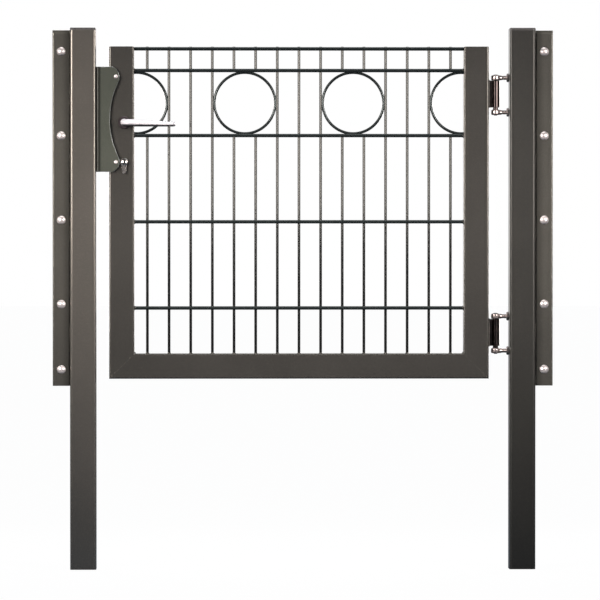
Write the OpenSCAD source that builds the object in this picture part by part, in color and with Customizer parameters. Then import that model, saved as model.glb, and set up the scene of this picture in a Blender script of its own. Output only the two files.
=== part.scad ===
// Single-leaf garden gate of welded rod mesh, hung between two square steel posts.
// Millimetres. Origin: centre of the hinge post's foot. +X runs from the latch post
// to the hinge post, +Y points to the side the leaf opens to, +Z is up.

/* [Opening and posts] */
// Clear width between the two posts
opening_w = 953.5; // [900:0.5:1200]
// Side of the square post tube
post_w = 60; // [56:1:80]
// Wall of the post tube
post_wall = 3; // [2:0.5:4]
// Outer corner radius of the post tube
post_r = 6; // [4:0.5:8]
// Length of the post tube
post_len = 1243; // [1230:1:1600]
// Height of the post cap above the tube
cap_t = 6; // [4:0.5:10]
// Rounding of the cap's top edges
cap_r = 3; // [1:0.5:3.5]
// Depth of the cap's skirt inside the tube
cap_skirt = 18; // [10:1:30]
// Wall of the cap's skirt
cap_wall = 2; // [1.5:0.5:4]

/* [Fence connection] */
// Leg of the angle welded to the outer side of each post
angle_leg = 40; // [36:1:50]
// Thickness of the angle
angle_t = 4; // [3:0.5:5]
// Root radius inside the angle
angle_root_r = 5; // [3:0.5:6]
// Length of the angle, down from the top of the post tube
angle_len = 819; // [780:1:900]
// Width of the clamp bar
bar_w = 37; // [32:1:44]
// Thickness of the clamp bar
bar_t = 5; // [4:0.5:8]
// Rounding of the clamp bar's long edges
bar_r = 1.5; // [0.5:0.5:1.5]
// Groove between the post and the clamp bar
bar_gap = 1.5; // [1:0.5:4]
// How far the clamp bar's top ends below the angle's
bar_drop = 6; // [0:1:10]
// Depth of the clamping plane behind the post's front face
clamp_setback = 12; // [9:0.5:12]
// Diameter of the fence bolt holes
fence_hole_d = 9; // [8.5:0.5:11]
// Distance of the highest fence bolt below the angle's top
fence_hole_top = 49; // [30:0.5:60]
// Spacing of the upper fence bolts
fence_hole_pitch = 194; // [150:1:200]
// Number of evenly spaced fence bolts
fence_hole_count = 4; // [2:1:4]
// Distance of the lowest fence bolt above the angle's lower end
fence_hole_low = 37.5; // [20:0.5:45]

/* [Leaf frame] */
// Height of the leaf's underside above the foot of the posts
leaf_z = 440; // [430:1:450]
// Height of the leaf
leaf_h = 766; // [740:1:780]
// Gap between the latch post and the leaf
latch_gap = 30; // [22:1:32]
// Gap between the hinge post and the leaf
hinge_gap = 47.5; // [45:0.5:49]
// Face width of the frame tube
frame_w = 58; // [56:1:66]
// Depth of the frame tube
frame_d = 40; // [36:1:44]
// Wall of the frame tube
frame_wall = 2; // [1.5:0.5:3]
// Outer corner radius of the frame tube
frame_r = 4; // [3.5:0.5:6]
// Thickness of the plates that close the stile tops
top_plate_t = 3; // [3:0.5:5]
// Rounding of those plates' ends, seen from the front
top_plate_r = 3; // [1:0.5:3]

/* [Rod mesh] */
// Diameter of the horizontal rods, which run in pairs
cross_rod_d = 8; // [6:0.5:8]
// Diameter of the upright rods
upright_d = 6; // [5:0.5:8]
// Spacing of the upright rods
upright_pitch = 50; // [45:1:60]
// Height of the lower mesh cells
row_pitch = 199; // [150:1:220]
// Height of the narrow cells along the top
top_cell_h = 50; // [40:1:60]
// Height of the band of rings
ring_cell_h = 150; // [145:1:160]
// Upright spaces from one ring to the next
ring_every = 5; // [5:1:6]
// Upright spaces that a ring fills
ring_span = 3; // [3]
// Diameter of the ring rod
ring_rod_d = 6.5; // [5:0.5:8]
// Depth that the rings are pressed into the upright rods beside them
ring_sink = 1.5; // [0.5:0.1:2]
// Depth that crossing rods are pressed together by welding
weld_sink = 0.75; // [0.5:0.05:1.2]
// Distance of the top rods' centre below the stile tops
mesh_drop = 5; // [4.5:0.5:10]

/* [Hinges] */
// Distance of the upper hinge's middle from the leaf's top
upper_hinge_inset = 109; // [100:0.5:150]
// Distance of the lower hinge's middle from the leaf's underside
lower_hinge_inset = 106.5; // [100:0.5:150]
// Distance of the pin's axis from the hinge post's face
axis_gap = 31; // [29:0.5:32]
// Outer diameter of the hinge barrel
barrel_d = 19; // [16:0.5:20]
// Length of the hinge barrel
barrel_len = 62; // [50:1:80]
// Bevel round the barrel's ends
barrel_bevel = 1; // [0.5:0.1:2]
// Diameter of the hinge pin
pin_d = 8; // [6:0.5:10]
// Outer diameter of the bolt's eye
eye_d = 21; // [18:0.5:23]
// Height of the bolt's eye along the pin
eye_h = 12; // [11:0.5:16]
// Rounding of the eye's outer edges
eye_edge_r = 3; // [1:0.5:4]
// Length of the taper from the eye to its shank
eye_neck_len = 5; // [3:0.5:8]
// Diameter of the eye bolt's shank
eye_shank_d = 10; // [8:0.5:10]
// Outer diameter of the collar that carries the barrel
collar_d = 12.5; // [12:0.5:16]
// Height of the collar
collar_h = 5; // [3:0.5:8]
// Height of the pin's head above the top eye
pin_head_h = 1.5; // [1:0.5:3]
// Diameter of the pin's head
pin_head_d = 13; // [11:0.5:16]
// Depth of the hinge plate, front to back
hinge_plate_d = 30; // [22:1:34]
// Width across flats of the eye bolt's nuts
nut_af = 17; // [15:1:18]
// Thickness of the lock nut on the post's inner face
lock_nut_t = 6; // [5:0.5:6]
// Thickness of the nut behind the angle
end_nut_t = 8; // [6:0.5:10]
// Length of thread that stands past the end nut
thread_end = 3; // [1:0.5:6]

/* [Lock and levers] */
// Height of the lever's axis above the leaf's underside
lever_z = 591; // [585:1:600]
// Distance of the lever's axis from the leaf's latch edge
backset = 35; // [35:0.5:40]
// Distance from the lever's axis down to the cylinder's axis
lever_to_cylinder = 92; // [72:1:92]
// Length of the lever from its axis to its tip
lever_len = 118.5; // [110:0.5:140]
// Distance of the lever's arm in front of the frame
lever_reach = 46; // [40:1:60]
// Diameter of the lever's neck
neck_d = 17; // [12:0.5:18]
// Diameter of the arm at its tip
tip_d = 9.5; // [8:0.5:12]
// Centre-line radius of the bend from neck to arm
neck_bend_r = 13; // [10:0.5:16]
// Centre-line radius of the bend back towards the gate
tip_bend_r = 9; // [7:0.5:12]
// Straight length after the tip's bend
tip_len = 5; // [3:0.5:10]
// Side of the square spindle
spindle_w = 8; // [7:0.5:9]
// Depth of the spindle in each lever's neck
spindle_grip = 20; // [12:1:24]
// Diameter of the rose around the neck
rose_d = 28; // [24:0.5:30]
// Thickness of the rose
rose_t = 7; // [4:0.5:9]
// Bevel round the rose's front
rose_bevel = 1.5; // [0.5:0.5:3]
// Width of the lock's faceplate, front to back
faceplate_w = 22; // [20:1:24]
// Height of the lock's faceplate
faceplate_h = 230; // [220:1:260]
// Thickness of the faceplate
faceplate_t = 3; // [2:0.5:3]
// Thickness of the lock case, front to back
case_w = 18; // [17:0.5:20]
// Wall of the lock case
case_wall = 1.5; // [1:0.5:2]
// Depth of the lock case behind the faceplate
case_depth = 50; // [49:0.5:51]
// Height of the lock case
case_h = 176; // [170:1:190]
// Height of the latch
latch_h = 28; // [20:1:32]
// Thickness of the latch, front to back
latch_w = 12; // [10:0.5:14]
// Length of the latch
latch_len = 22; // [18:1:30]
// Width of the flat lip along the latch's slope
latch_lip = 2; // [1:0.5:3]
// Height of the latch's middle above the lever's axis
latch_rise = 14; // [10:1:20]
// Height of the dead bolt
bolt_h = 32; // [24:1:34]
// Length of the dead bolt
bolt_len = 24; // [18:1:30]
// Distance of the dead bolt's middle below the lever's axis
bolt_fall = 38; // [36:1:42]
// Diameter of the lock cylinder's round part
cylinder_d = 17; // [16:0.5:17.5]
// Width of the lock cylinder's lower part
cylinder_web = 10; // [9:0.5:11]
// Height of the lock cylinder, round part and web together
cylinder_h = 33; // [30:0.5:34]
// Distance the lock cylinder stands out of each face of the frame
cylinder_proud = 8; // [2:0.5:12]
// Width of the keyway
key_w = 2.2; // [1.5:0.1:3]
// Height of the keyway
key_h = 9; // [7:0.5:12]
// Depth of the keyway from each end
key_depth = 16; // [8:1:24]

/* [Strike plate] */
// Height of the strike plate
strike_h = 242; // [230:1:260]
// Width of the strike plate at its two lobes
strike_w = 54; // [50:0.5:56]
// Width of the strike plate at its waist
waist_w = 32; // [28:0.5:36]
// Radius of the lobes
lobe_r = 25.8; // [22:0.1:28]
// Distance of the lobes' widest point from the plate's ends
lobe_inset = 24; // [20:0.5:25]
// Thickness of the strike plate's sheet
strike_t = 3; // [2:0.5:3]
// Outer radius of the bend between leaf and flange
bend_r = 6; // [4:0.5:6]
// Length of the flange along the post, front edge to back edge
flange_d = 53; // [46:0.5:54]
// Rounding of the bend's ends
bend_corner_r = 4; // [2:0.5:6]
// Height of the plate's middle above the lever's axis
strike_rise = 7; // [0:0.5:10]
// Diameter of the rubber buffers
buffer_d = 15; // [12:0.5:18]
// Thickness of the rubber buffers
buffer_t = 6; // [5:0.5:7]
// Distance of each buffer's centre from the plate's end
buffer_inset = 22.5; // [18:0.5:26]
// Distance of the buffers' centres from the post's face
buffer_x = 46; // [44:0.5:46]
// Clearance round the latch and bolt in the strike's slots
slot_clear = 4; // [2:0.5:5]

/* [Clearances] */
// Running gap between faces that pass each other
run_gap = 0.3; // [0.2:0.05:0.5]
// Radial clearance of a pin in its bore
fit_gap = 0.05; // [0.03:0.01:0.09]
// Clearance round the lock cylinder, bolts and spindle in their holes
hole_gap = 0.5; // [0.3:0.1:1]

/* [Hidden] */

round_fn = 48;      // facets shown on round pieces
rod_fn = 12;        // sides of a mesh rod
cut = 1;            // how far a cutter runs past the face it cuts
least_r = 0.5;      // smallest radius inside a bent tube's corner

post_pitch = opening_w + post_w;
angle_top = post_len;
clamp_y = -post_w / 2 + clamp_setback;
bar_mid_x = post_w / 2 + bar_gap + bar_w / 2;
angle_bottom = angle_top - angle_len;
fence_hole_z = concat(
    [for (i = [0:fence_hole_count - 1]) angle_top - fence_hole_top - i * fence_hole_pitch],
    [angle_bottom + fence_hole_low]);

leaf_w = opening_w - latch_gap - hinge_gap;
leaf_right = -post_w / 2 - hinge_gap;
leaf_left = leaf_right - leaf_w;
leaf_mid = (leaf_left + leaf_right) / 2;
leaf_top = leaf_z + leaf_h;
clear_w = leaf_w - 2 * frame_w;
rail_top = leaf_z + frame_w;

top_row = leaf_top - mesh_drop;
ring_row_top = top_row - top_cell_h;
ring_row_low = ring_row_top - ring_cell_h;
rows = concat([top_row, ring_row_top],
    [for (z = ring_row_low; z > rail_top + cross_rod_d; z = z - row_pitch) z]);
row_y = (cross_rod_d + upright_d) / 2 - weld_sink;
upright_half = floor((clear_w / upright_pitch - 1) / 2);
uprights = [for (i = [-upright_half:upright_half]) i * upright_pitch];
ring_r = ring_span * upright_pitch / 2 - upright_d / 2 - ring_rod_d / 2 + ring_sink;
ring_z = (ring_row_top + ring_row_low) / 2;
ring_pitch = ring_every * upright_pitch;
ring_half = ceil(clear_w / 2 / ring_pitch);
rings = [for (i = [-ring_half:ring_half - 1]) (i + 0.5) * ring_pitch];

axis_x = -post_w / 2 - axis_gap;
leaf_to_axis = hinge_gap - axis_gap;
plate_t = leaf_to_axis - barrel_d / 2 + weld_sink;
hinge_z = [leaf_z + lower_hinge_inset, leaf_top - upper_hinge_inset];
top_eye_z = barrel_len / 2 + run_gap + eye_h / 2;
low_eye_z = -barrel_len / 2 - run_gap - collar_h - eye_h / 2;

lock_x = leaf_left + backset;
lock_z = leaf_z + lever_z;
cylinder_z = lock_z - lever_to_cylinder;
latch_z = lock_z + latch_rise;
bolt_z = lock_z - bolt_fall;
faceplate_z = (lock_z + cylinder_z) / 2;
strike_z = lock_z + strike_rise;
strike_x = -post_pitch + post_w / 2;
strike_front = -frame_d / 2 - run_gap - buffer_t - strike_t;

paint = "#45433f";
steel = "#b9b6b4";
satin = "#dcd9da";
rubber = "#1c1c1c";
plastic = "#33322f";

// ---- shared shapes ----

// Rectangle with true arcs at its corners
module rounded_rect(w, h, r) {
    square([w - 2 * r, h], center = true);
    square([w, h - 2 * r], center = true);
    for (x = [-1, 1], y = [-1, 1])
        translate([x * (w / 2 - r), y * (h / 2 - r)]) circle(r, $fn = round_fn);
}

// Hollow rectangular tube standing on the origin
module tube(w, d, r, wall, length) {
    linear_extrude(length) difference() {
        rounded_rect(w, d, r);
        rounded_rect(w - 2 * wall, d - 2 * wall, max(r - wall, least_r));
    }
}

// Outline in the X-Z plane made a solid that runs from y0 to y1
module slab(y0, y1) {
    translate([0, y1, 0]) rotate([90, 0, 0]) linear_extrude(y1 - y0) children();
}

// Places its children at each fence bolt
module at_fence_holes() {
    for (z = fence_hole_z)
        translate([bar_mid_x, clamp_y, z]) children();
}

// ---- posts and fence connection, drawn for a post on the origin ----

module post() {
    color(paint) tube(post_w, post_w, post_r, post_wall, post_len);
}

module post_cap() {
    skirt_w = post_w - 2 * post_wall - 2 * run_gap;
    color(plastic) translate([0, 0, post_len]) {
        intersection() {
            linear_extrude(cap_t) rounded_rect(post_w, post_w, post_r);
            slab(-post_w, post_w) cap_side();
            rotate([0, 0, 90]) slab(-post_w, post_w) cap_side();
        }
        translate([0, 0, -cap_skirt])
            tube(skirt_w, skirt_w, max(post_r - post_wall, least_r), cap_wall, cap_skirt);
    }
}

// Side view of the cap's top, rounded along its upper edges
module cap_side() {
    intersection() {
        translate([0, cap_t / 2 - cap_r]) rounded_rect(post_w, cap_t + 2 * cap_r, cap_r);
        translate([-post_w / 2, 0]) square([post_w, cap_t]);
    }
}

// Equal angle: one leg on the post's outer side, the other carries the fence
module side_angle() {
    color(paint) difference() {
        translate([post_w / 2, clamp_y, angle_bottom]) linear_extrude(angle_len) angle_section();
        at_fence_holes() fence_hole();
    }
}

module angle_section() {
    square([angle_leg, angle_t]);
    square([angle_t, angle_leg]);
    difference() {
        square(angle_t + angle_root_r);
        translate([angle_t + angle_root_r, angle_t + angle_root_r])
            circle(angle_root_r, $fn = round_fn);
    }
}

module clamp_bar() {
    color(paint) difference() {
        translate([bar_mid_x, clamp_y - bar_t / 2, angle_bottom])
            linear_extrude(angle_len - bar_drop) rounded_rect(bar_w, bar_t, bar_r);
        at_fence_holes() fence_hole();
    }
}

module fence_hole() {
    reach = bar_t + angle_t + angle_root_r;
    rotate([90, 0, 0])
        cylinder(h = 2 * reach, d = fence_hole_d, center = true, $fn = round_fn);
}

module at_latch_post() {
    translate([-post_pitch, 0, 0]) mirror([1, 0, 0]) children();
}

// Places its children at each eye bolt of both hinges
module at_eye_bolts() {
    for (z = hinge_z, dz = [top_eye_z, low_eye_z])
        translate([axis_x, 0, z + dz]) children();
}

module eye_bolt_hole() {
    rotate([0, 90, 0])
        cylinder(h = axis_gap + post_w + angle_t + cut, d = eye_shank_d + 2 * hole_gap,
                 $fn = round_fn);
}

module hinge_post() {
    color(paint) difference() {
        post();
        at_eye_bolts() eye_bolt_hole();
    }
}

module hinge_side_angle() {
    color(paint) difference() {
        side_angle();
        at_eye_bolts() eye_bolt_hole();
    }
}

module latch_post() {
    color(paint) difference() {
        at_latch_post() post();
        keeper_slots();
    }
}

// ---- strike plate on the latch post ----

// Slots through the strike's flange and the post wall behind it
module keeper_slots() {
    depth = post_wall + strike_t + 2 * cut;
    for (slot = [[latch_z, latch_h, latch_w], [bolt_z, bolt_h, latch_w]])
        translate([strike_x - post_wall - cut, -slot[2] / 2 - slot_clear,
                   slot[0] - slot[1] / 2 - slot_clear])
            cube([depth, slot[2] + 2 * slot_clear, slot[1] + 2 * slot_clear]);
}

// Front view of the strike plate: two round lobes joined by a waist cut by one
// large arc that meets both lobes without a corner
module strike_outline() {
    lobe_x = strike_w - lobe_r;
    lobe_y = strike_h / 2 - lobe_inset;
    reach = lobe_x - waist_w;
    arc_r = (reach * reach + lobe_y * lobe_y - lobe_r * lobe_r) / (2 * (lobe_r + reach));
    arc_x = waist_w + arc_r;
    touch = lobe_r / (lobe_r + arc_r);
    touch_x = lobe_x + (arc_x - lobe_x) * touch;
    touch_y = lobe_y * (1 - touch);
    intersection() {
        translate([0, -strike_h / 2]) square([strike_w, strike_h]);
        union() {
            translate([0, -strike_h / 2]) square([lobe_x, strike_h]);
            for (y = [-lobe_y, lobe_y]) translate([lobe_x, y]) circle(lobe_r, $fn = 2 * round_fn);
            difference() {
                polygon([[0, -lobe_y], [lobe_x, -lobe_y], [touch_x, -touch_y],
                         [touch_x, touch_y], [lobe_x, lobe_y], [0, lobe_y]]);
                translate([arc_x, 0]) circle(arc_r, $fn = 4 * round_fn);
            }
        }
    }
}

// Section through the strike plate: flange on the post, bend, leaf in front
module strike_section() {
    back = strike_front + flange_d;
    translate([0, strike_front + bend_r]) square([strike_t, back - strike_front - bend_r]);
    translate([bend_r, strike_front]) square([strike_w - bend_r, strike_t]);
    translate([bend_r, strike_front + bend_r]) intersection() {
        difference() {
            circle(bend_r, $fn = round_fn);
            circle(bend_r - strike_t, $fn = round_fn);
        }
        translate([-bend_r, -bend_r]) square(bend_r);
    }
}

// Corner piece that rounds one end of the bend
module bend_corner() {
    difference() {
        translate([-cut, -cut]) square(bend_corner_r + cut);
        translate([bend_corner_r, bend_corner_r]) circle(bend_corner_r, $fn = round_fn);
    }
}

module strike_plate() {
    color(paint) difference() {
        translate([strike_x, 0, strike_z]) difference() {
            intersection() {
                translate([0, 0, -strike_h / 2]) linear_extrude(strike_h) strike_section();
                slab(strike_front, strike_front + flange_d) strike_outline();
            }
            for (s = [0, 1]) mirror([0, 0, s]) translate([0, 0, -strike_h / 2])
                slab(strike_front - cut, strike_front + bend_r) bend_corner();
        }
        keeper_slots();
    }
}

// Round rubber stop on the back of the strike plate's leaf
module strike_buffer(side) {
    color(rubber)
        translate([strike_x + buffer_x, strike_front + strike_t,
                   strike_z + side * (strike_h / 2 - buffer_inset)])
            rotate([-90, 0, 0]) cylinder(h = buffer_t, d = buffer_d, $fn = round_fn);
}

// ---- hinges, drawn about the pin's axis at the hinge's middle ----

// Flat ring with rounded outer edges and a shank that runs through the post
module eye_bolt() {
    shank_end = axis_gap + post_w + angle_t + end_nut_t + thread_end;
    color(steel) difference() {
        union() {
            rotate_extrude($fn = round_fn) intersection() {
                translate([0, -eye_h / 2]) square([eye_d / 2, eye_h]);
                rounded_rect(eye_d, eye_h, eye_edge_r);
            }
            rotate([0, 90, 0]) {
                cylinder(h = shank_end, d = eye_shank_d, $fn = round_fn);
                translate([0, 0, eye_d / 2 - 1])
                    cylinder(h = eye_neck_len, d1 = eye_h, d2 = eye_shank_d, $fn = round_fn);
            }
        }
        cylinder(h = eye_h + 2 * cut, d = pin_d + 2 * fit_gap, center = true, $fn = round_fn);
    }
}

module hex_nut(thick) {
    bore = eye_shank_d + 2 * fit_gap;
    rotate([0, 90, 0]) difference() {
        cylinder(h = thick, r = nut_af / sqrt(3), $fn = 6);
        translate([0, 0, -cut]) cylinder(h = thick + 2 * cut, d = bore, $fn = round_fn);
    }
}

module hinge_nuts(hinge) {
    color(steel) for (dz = [top_eye_z, low_eye_z])
        translate([axis_x, 0, hinge_z[hinge] + dz]) {
            translate([axis_gap - lock_nut_t, 0, 0]) hex_nut(lock_nut_t);
            translate([axis_gap + post_w + angle_t, 0, 0]) hex_nut(end_nut_t);
        }
}

module hinge_pin() {
    low = low_eye_z - eye_h / 2 - pin_head_h;
    top = top_eye_z + eye_h / 2;
    color(steel) {
        translate([0, 0, low]) cylinder(h = top - low, d = pin_d, $fn = round_fn);
        translate([0, 0, top]) cylinder(h = pin_head_h, d1 = pin_head_d, d2 = pin_d, $fn = round_fn);
    }
}

module hinge_collar() {
    color(steel) translate([0, 0, low_eye_z + eye_h / 2]) difference() {
        cylinder(h = collar_h, d = collar_d, $fn = round_fn);
        translate([0, 0, -cut])
            cylinder(h = collar_h + 2 * cut, d = pin_d + 2 * fit_gap, $fn = round_fn);
    }
}

// Barrel with bevelled ends, joined to the plate on the stile by a web that leaves it
// as a tangent
module hinge_barrel() {
    half = barrel_len / 2;
    web_h = barrel_len - 2 * barrel_bevel;
    color(steel) difference() {
        union() {
            rotate_extrude($fn = round_fn)
                polygon([[0, -half], [barrel_d / 2 - barrel_bevel, -half],
                         [barrel_d / 2, barrel_bevel - half], [barrel_d / 2, half - barrel_bevel],
                         [barrel_d / 2 - barrel_bevel, half], [0, half]]);
            translate([-leaf_to_axis, -hinge_plate_d / 2, -half])
                cube([plate_t, hinge_plate_d, barrel_len]);
            translate([-leaf_to_axis, 0, -web_h / 2])
                cube([leaf_to_axis, barrel_d / 2, web_h]);
        }
        cylinder(h = barrel_len + 2 * cut, d = pin_d + 2 * fit_gap, center = true,
                 $fn = round_fn);
    }
}

module at_hinge(hinge) {
    translate([axis_x, 0, hinge_z[hinge]]) children();
}

// ---- leaf ----

// Stile with its outer bottom corner on the origin, mitred to meet the bottom rail
module stile() {
    difference() {
        translate([frame_w / 2, 0, 0])
            tube(frame_w, frame_d, frame_r, frame_wall, leaf_h - top_plate_t);
        slab(-frame_d, frame_d)
            polygon([[-cut, -cut], [frame_w + cut, frame_w + cut], [frame_w + cut, -cut]]);
    }
}

module stile_cap() {
    intersection() {
        translate([frame_w / 2, 0, leaf_h - top_plate_t])
            linear_extrude(top_plate_t) rounded_rect(frame_w, frame_d, frame_r);
        translate([frame_w / 2, 0, leaf_h - frame_w / 2])
            slab(-frame_d, frame_d) rounded_rect(frame_w, frame_w, top_plate_r);
    }
}

module at_latch_stile() {
    translate([leaf_left, 0, leaf_z]) children();
}

module at_hinge_stile() {
    translate([leaf_right, 0, leaf_z]) mirror([1, 0, 0]) children();
}

// Latch stile: slot for the faceplate, holes for the spindle and the lock cylinder
module latch_stile() {
    color(paint) difference() {
        at_latch_stile() stile();
        translate([leaf_left - cut, -faceplate_w / 2 - run_gap,
                   faceplate_z - faceplate_h / 2 - run_gap])
            cube([frame_wall + 2 * cut, faceplate_w + 2 * run_gap, faceplate_h + 2 * run_gap]);
        at_lock() spindle_hole(frame_d);
        at_cylinder() slab(-frame_d, frame_d) cylinder_outline(hole_gap);
    }
}

module bottom_rail() {
    color(paint) difference() {
        translate([leaf_left, 0, leaf_z + frame_w / 2]) rotate([0, 90, 0])
            tube(frame_w, frame_d, frame_r, frame_wall, leaf_w);
        for (s = [0, 1]) translate([leaf_mid, 0, leaf_z]) mirror([s, 0, 0])
            translate([-leaf_w / 2, 0, 0]) slab(-frame_d, frame_d)
                polygon([[-cut, -cut], [frame_w + cut, frame_w + cut], [-cut, frame_w + cut]]);
    }
}

// ---- rod mesh with its band of rings ----

function ring_near(x) = len([for (r = rings) if (abs(x - r) < ring_r) r]) > 0;

module upright(x, z0, z1) {
    translate([x, 0, z0]) cylinder(h = z1 - z0, d = upright_d, $fn = rod_fn);
}

module mesh_panel() {
    stub = cross_rod_d / 2;
    color(paint) translate([leaf_mid, 0, 0]) {
        for (z = rows, y = [-row_y, row_y]) translate([-clear_w / 2, y, z])
            rotate([0, 90, 0]) cylinder(h = clear_w, d = cross_rod_d, $fn = rod_fn);
        for (x = uprights) {
            if (ring_near(x)) {
                upright(x, rail_top, ring_row_low + stub);
                upright(x, ring_row_top - stub, leaf_top);
            } else {
                upright(x, rail_top, leaf_top);
            }
        }
        intersection() {
            for (x = rings) translate([x, 0, ring_z]) rotate([90, 0, 0])
                rotate_extrude($fn = 2 * round_fn) translate([ring_r, 0])
                    circle(d = ring_rod_d, $fn = round_fn / 2);
            cube([clear_w, frame_d, 2 * leaf_top], center = true);
        }
    }
}

// ---- lock and levers ----

module at_lock() {
    translate([lock_x, 0, lock_z]) children();
}

module at_cylinder() {
    translate([lock_x, 0, cylinder_z]) children();
}

// Keyhole-shaped section of the lock cylinder, grown by a clearance
module cylinder_outline(gap) {
    web_r = cylinder_web / 2 + gap;
    web_z = cylinder_d / 2 - cylinder_h + cylinder_web / 2;
    circle(d = cylinder_d + 2 * gap, $fn = round_fn);
    translate([-web_r, web_z]) square([2 * web_r, -web_z]);
    translate([0, web_z]) circle(web_r, $fn = round_fn);
}

module spindle_hole(depth) {
    rotate([90, 0, 0])
        cylinder(h = 2 * depth, d = spindle_w * sqrt(2) + 2 * hole_gap, center = true,
                 $fn = round_fn);
}

// Faceplate with the hollow case behind it, and windows for the latch and dead bolt
module lock_case() {
    mid_z = faceplate_z - lock_z;
    color(steel) at_lock() difference() {
        union() {
            translate([-backset, -faceplate_w / 2, mid_z - faceplate_h / 2])
                cube([faceplate_t, faceplate_w, faceplate_h]);
            translate([-backset + faceplate_t, -case_w / 2, mid_z - case_h / 2])
                cube([case_depth, case_w, case_h]);
        }
        translate([-backset + faceplate_t, -case_w / 2 + case_wall,
                   mid_z - case_h / 2 + case_wall])
            cube([case_depth - case_wall, case_w - 2 * case_wall, case_h - 2 * case_wall]);
        for (part = [[latch_rise, latch_h], [-bolt_fall, bolt_h]])
            translate([-backset - cut, -latch_w / 2 - run_gap, part[0] - part[1] / 2 - run_gap])
                cube([faceplate_t + 2 * cut, latch_w + 2 * run_gap, part[1] + 2 * run_gap]);
        spindle_hole(case_w);
        translate([0, 0, -lever_to_cylinder])
            slab(-case_w, case_w) cylinder_outline(hole_gap);
    }
}

// Bevelled latch, drawn back level with the faceplate
module latch() {
    slope = latch_w - latch_lip;
    color(steel) translate([leaf_left, 0, latch_z - latch_h / 2]) linear_extrude(latch_h)
        polygon([[latch_len, -latch_w / 2], [0, -latch_w / 2], [0, latch_lip - latch_w / 2],
                 [slope, latch_w / 2], [latch_len, latch_w / 2]]);
}

module dead_bolt() {
    color(steel) translate([leaf_left, -latch_w / 2, bolt_z - bolt_h / 2])
        cube([bolt_len, latch_w, bolt_h]);
}

module lock_cylinder() {
    length = frame_d + 2 * cylinder_proud;
    color(satin) at_cylinder() difference() {
        slab(-length / 2, length / 2) cylinder_outline(0);
        for (s = [0, 1]) mirror([0, s, 0])
            translate([-key_w / 2, -length / 2 - cut, -key_h / 2])
                cube([key_w, key_depth, key_h]);
    }
}

// Collar round the lever's neck, with a bevelled front edge
module rose() {
    bore_r = neck_d / 2 + fit_gap;
    color(plastic) translate([0, -frame_d / 2, 0]) rotate([90, 0, 0])
        rotate_extrude($fn = round_fn)
            polygon([[bore_r, 0], [rose_d / 2, 0], [rose_d / 2, rose_t - rose_bevel],
                     [rose_d / 2 - rose_bevel, rose_t], [bore_r, rose_t]]);
}

module spindle() {
    length = frame_d + 2 * spindle_grip;
    color(steel) at_lock() cube([spindle_w, length, spindle_w], center = true);
}

// Bent round lever: neck out of the rose, arm tapering along a level underside, and
// a tip turned back to the gate
module lever() {
    neck_len = lever_reach - neck_bend_r;
    arm_len = lever_len - neck_bend_r - tip_bend_r - tip_d / 2;
    droop = atan((neck_d - tip_d) / 2 / arm_len);
    color(satin) translate([0, -frame_d / 2, 0]) difference() {
        union() {
            translate([0, -run_gap, 0]) rotate([90, 0, 0])
                cylinder(h = neck_len - run_gap, d = neck_d, $fn = round_fn);
            translate([neck_bend_r, -neck_len, 0]) rotate([0, 0, 180])
                rotate_extrude(angle = 90, $fn = round_fn)
                    translate([neck_bend_r, 0]) circle(d = neck_d, $fn = round_fn);
            translate([neck_bend_r, -lever_reach, 0]) rotate([0, droop, 0]) {
                sphere(d = neck_d, $fn = round_fn);
                rotate([0, 90, 0])
                    cylinder(h = arm_len, d1 = neck_d, d2 = tip_d, $fn = round_fn);
                translate([arm_len, tip_bend_r, 0]) {
                    rotate([0, 0, -90]) rotate_extrude(angle = 90, $fn = round_fn)
                        translate([tip_bend_r, 0]) circle(d = tip_d, $fn = round_fn);
                    translate([tip_bend_r, 0, 0]) {
                        rotate([-90, 0, 0]) cylinder(h = tip_len, d = tip_d, $fn = round_fn);
                        translate([0, tip_len, 0]) sphere(d = tip_d, $fn = round_fn);
                    }
                }
            }
        }
        socket_w = spindle_w + 2 * fit_gap;
        translate([0, -spindle_grip / 2, 0])
            cube([socket_w, spindle_grip + 2 * fit_gap, socket_w], center = true);
    }
}

hinge_post();
post_cap();  // hinge_post_cap
hinge_side_angle();
clamp_bar();  // hinge_side_clamp_bar
latch_post();
at_latch_post() post_cap();  // latch_post_cap
at_latch_post() side_angle();  // latch_side_angle
at_latch_post() clamp_bar();  // latch_side_clamp_bar
strike_plate();
strike_buffer(1);  // upper_buffer
strike_buffer(-1);  // lower_buffer
at_hinge(1) translate([0, 0, top_eye_z]) eye_bolt();  // upper_hinge_top_eye_bolt
at_hinge(1) translate([0, 0, low_eye_z]) eye_bolt();  // upper_hinge_bottom_eye_bolt
hinge_nuts(1);  // upper_hinge_nuts
at_hinge(1) hinge_pin();  // upper_hinge_pin
at_hinge(1) hinge_collar();  // upper_hinge_collar
at_hinge(1) hinge_barrel();  // upper_hinge_barrel
at_hinge(0) translate([0, 0, top_eye_z]) eye_bolt();  // lower_hinge_top_eye_bolt
at_hinge(0) translate([0, 0, low_eye_z]) eye_bolt();  // lower_hinge_bottom_eye_bolt
hinge_nuts(0);  // lower_hinge_nuts
at_hinge(0) hinge_pin();  // lower_hinge_pin
at_hinge(0) hinge_collar();  // lower_hinge_collar
at_hinge(0) hinge_barrel();  // lower_hinge_barrel
latch_stile();
color(paint) at_hinge_stile() stile();  // hinge_stile
bottom_rail();
color(paint) at_latch_stile() stile_cap();  // latch_stile_cap
color(paint) at_hinge_stile() stile_cap();  // hinge_stile_cap
mesh_panel();
lock_case();
latch();
dead_bolt();
lock_cylinder();
at_lock() rose();  // front_rose
at_lock() mirror([0, 1, 0]) rose();  // back_rose
spindle();
at_lock() lever();  // front_lever
at_lock() mirror([0, 1, 0]) lever();  // back_lever
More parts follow.
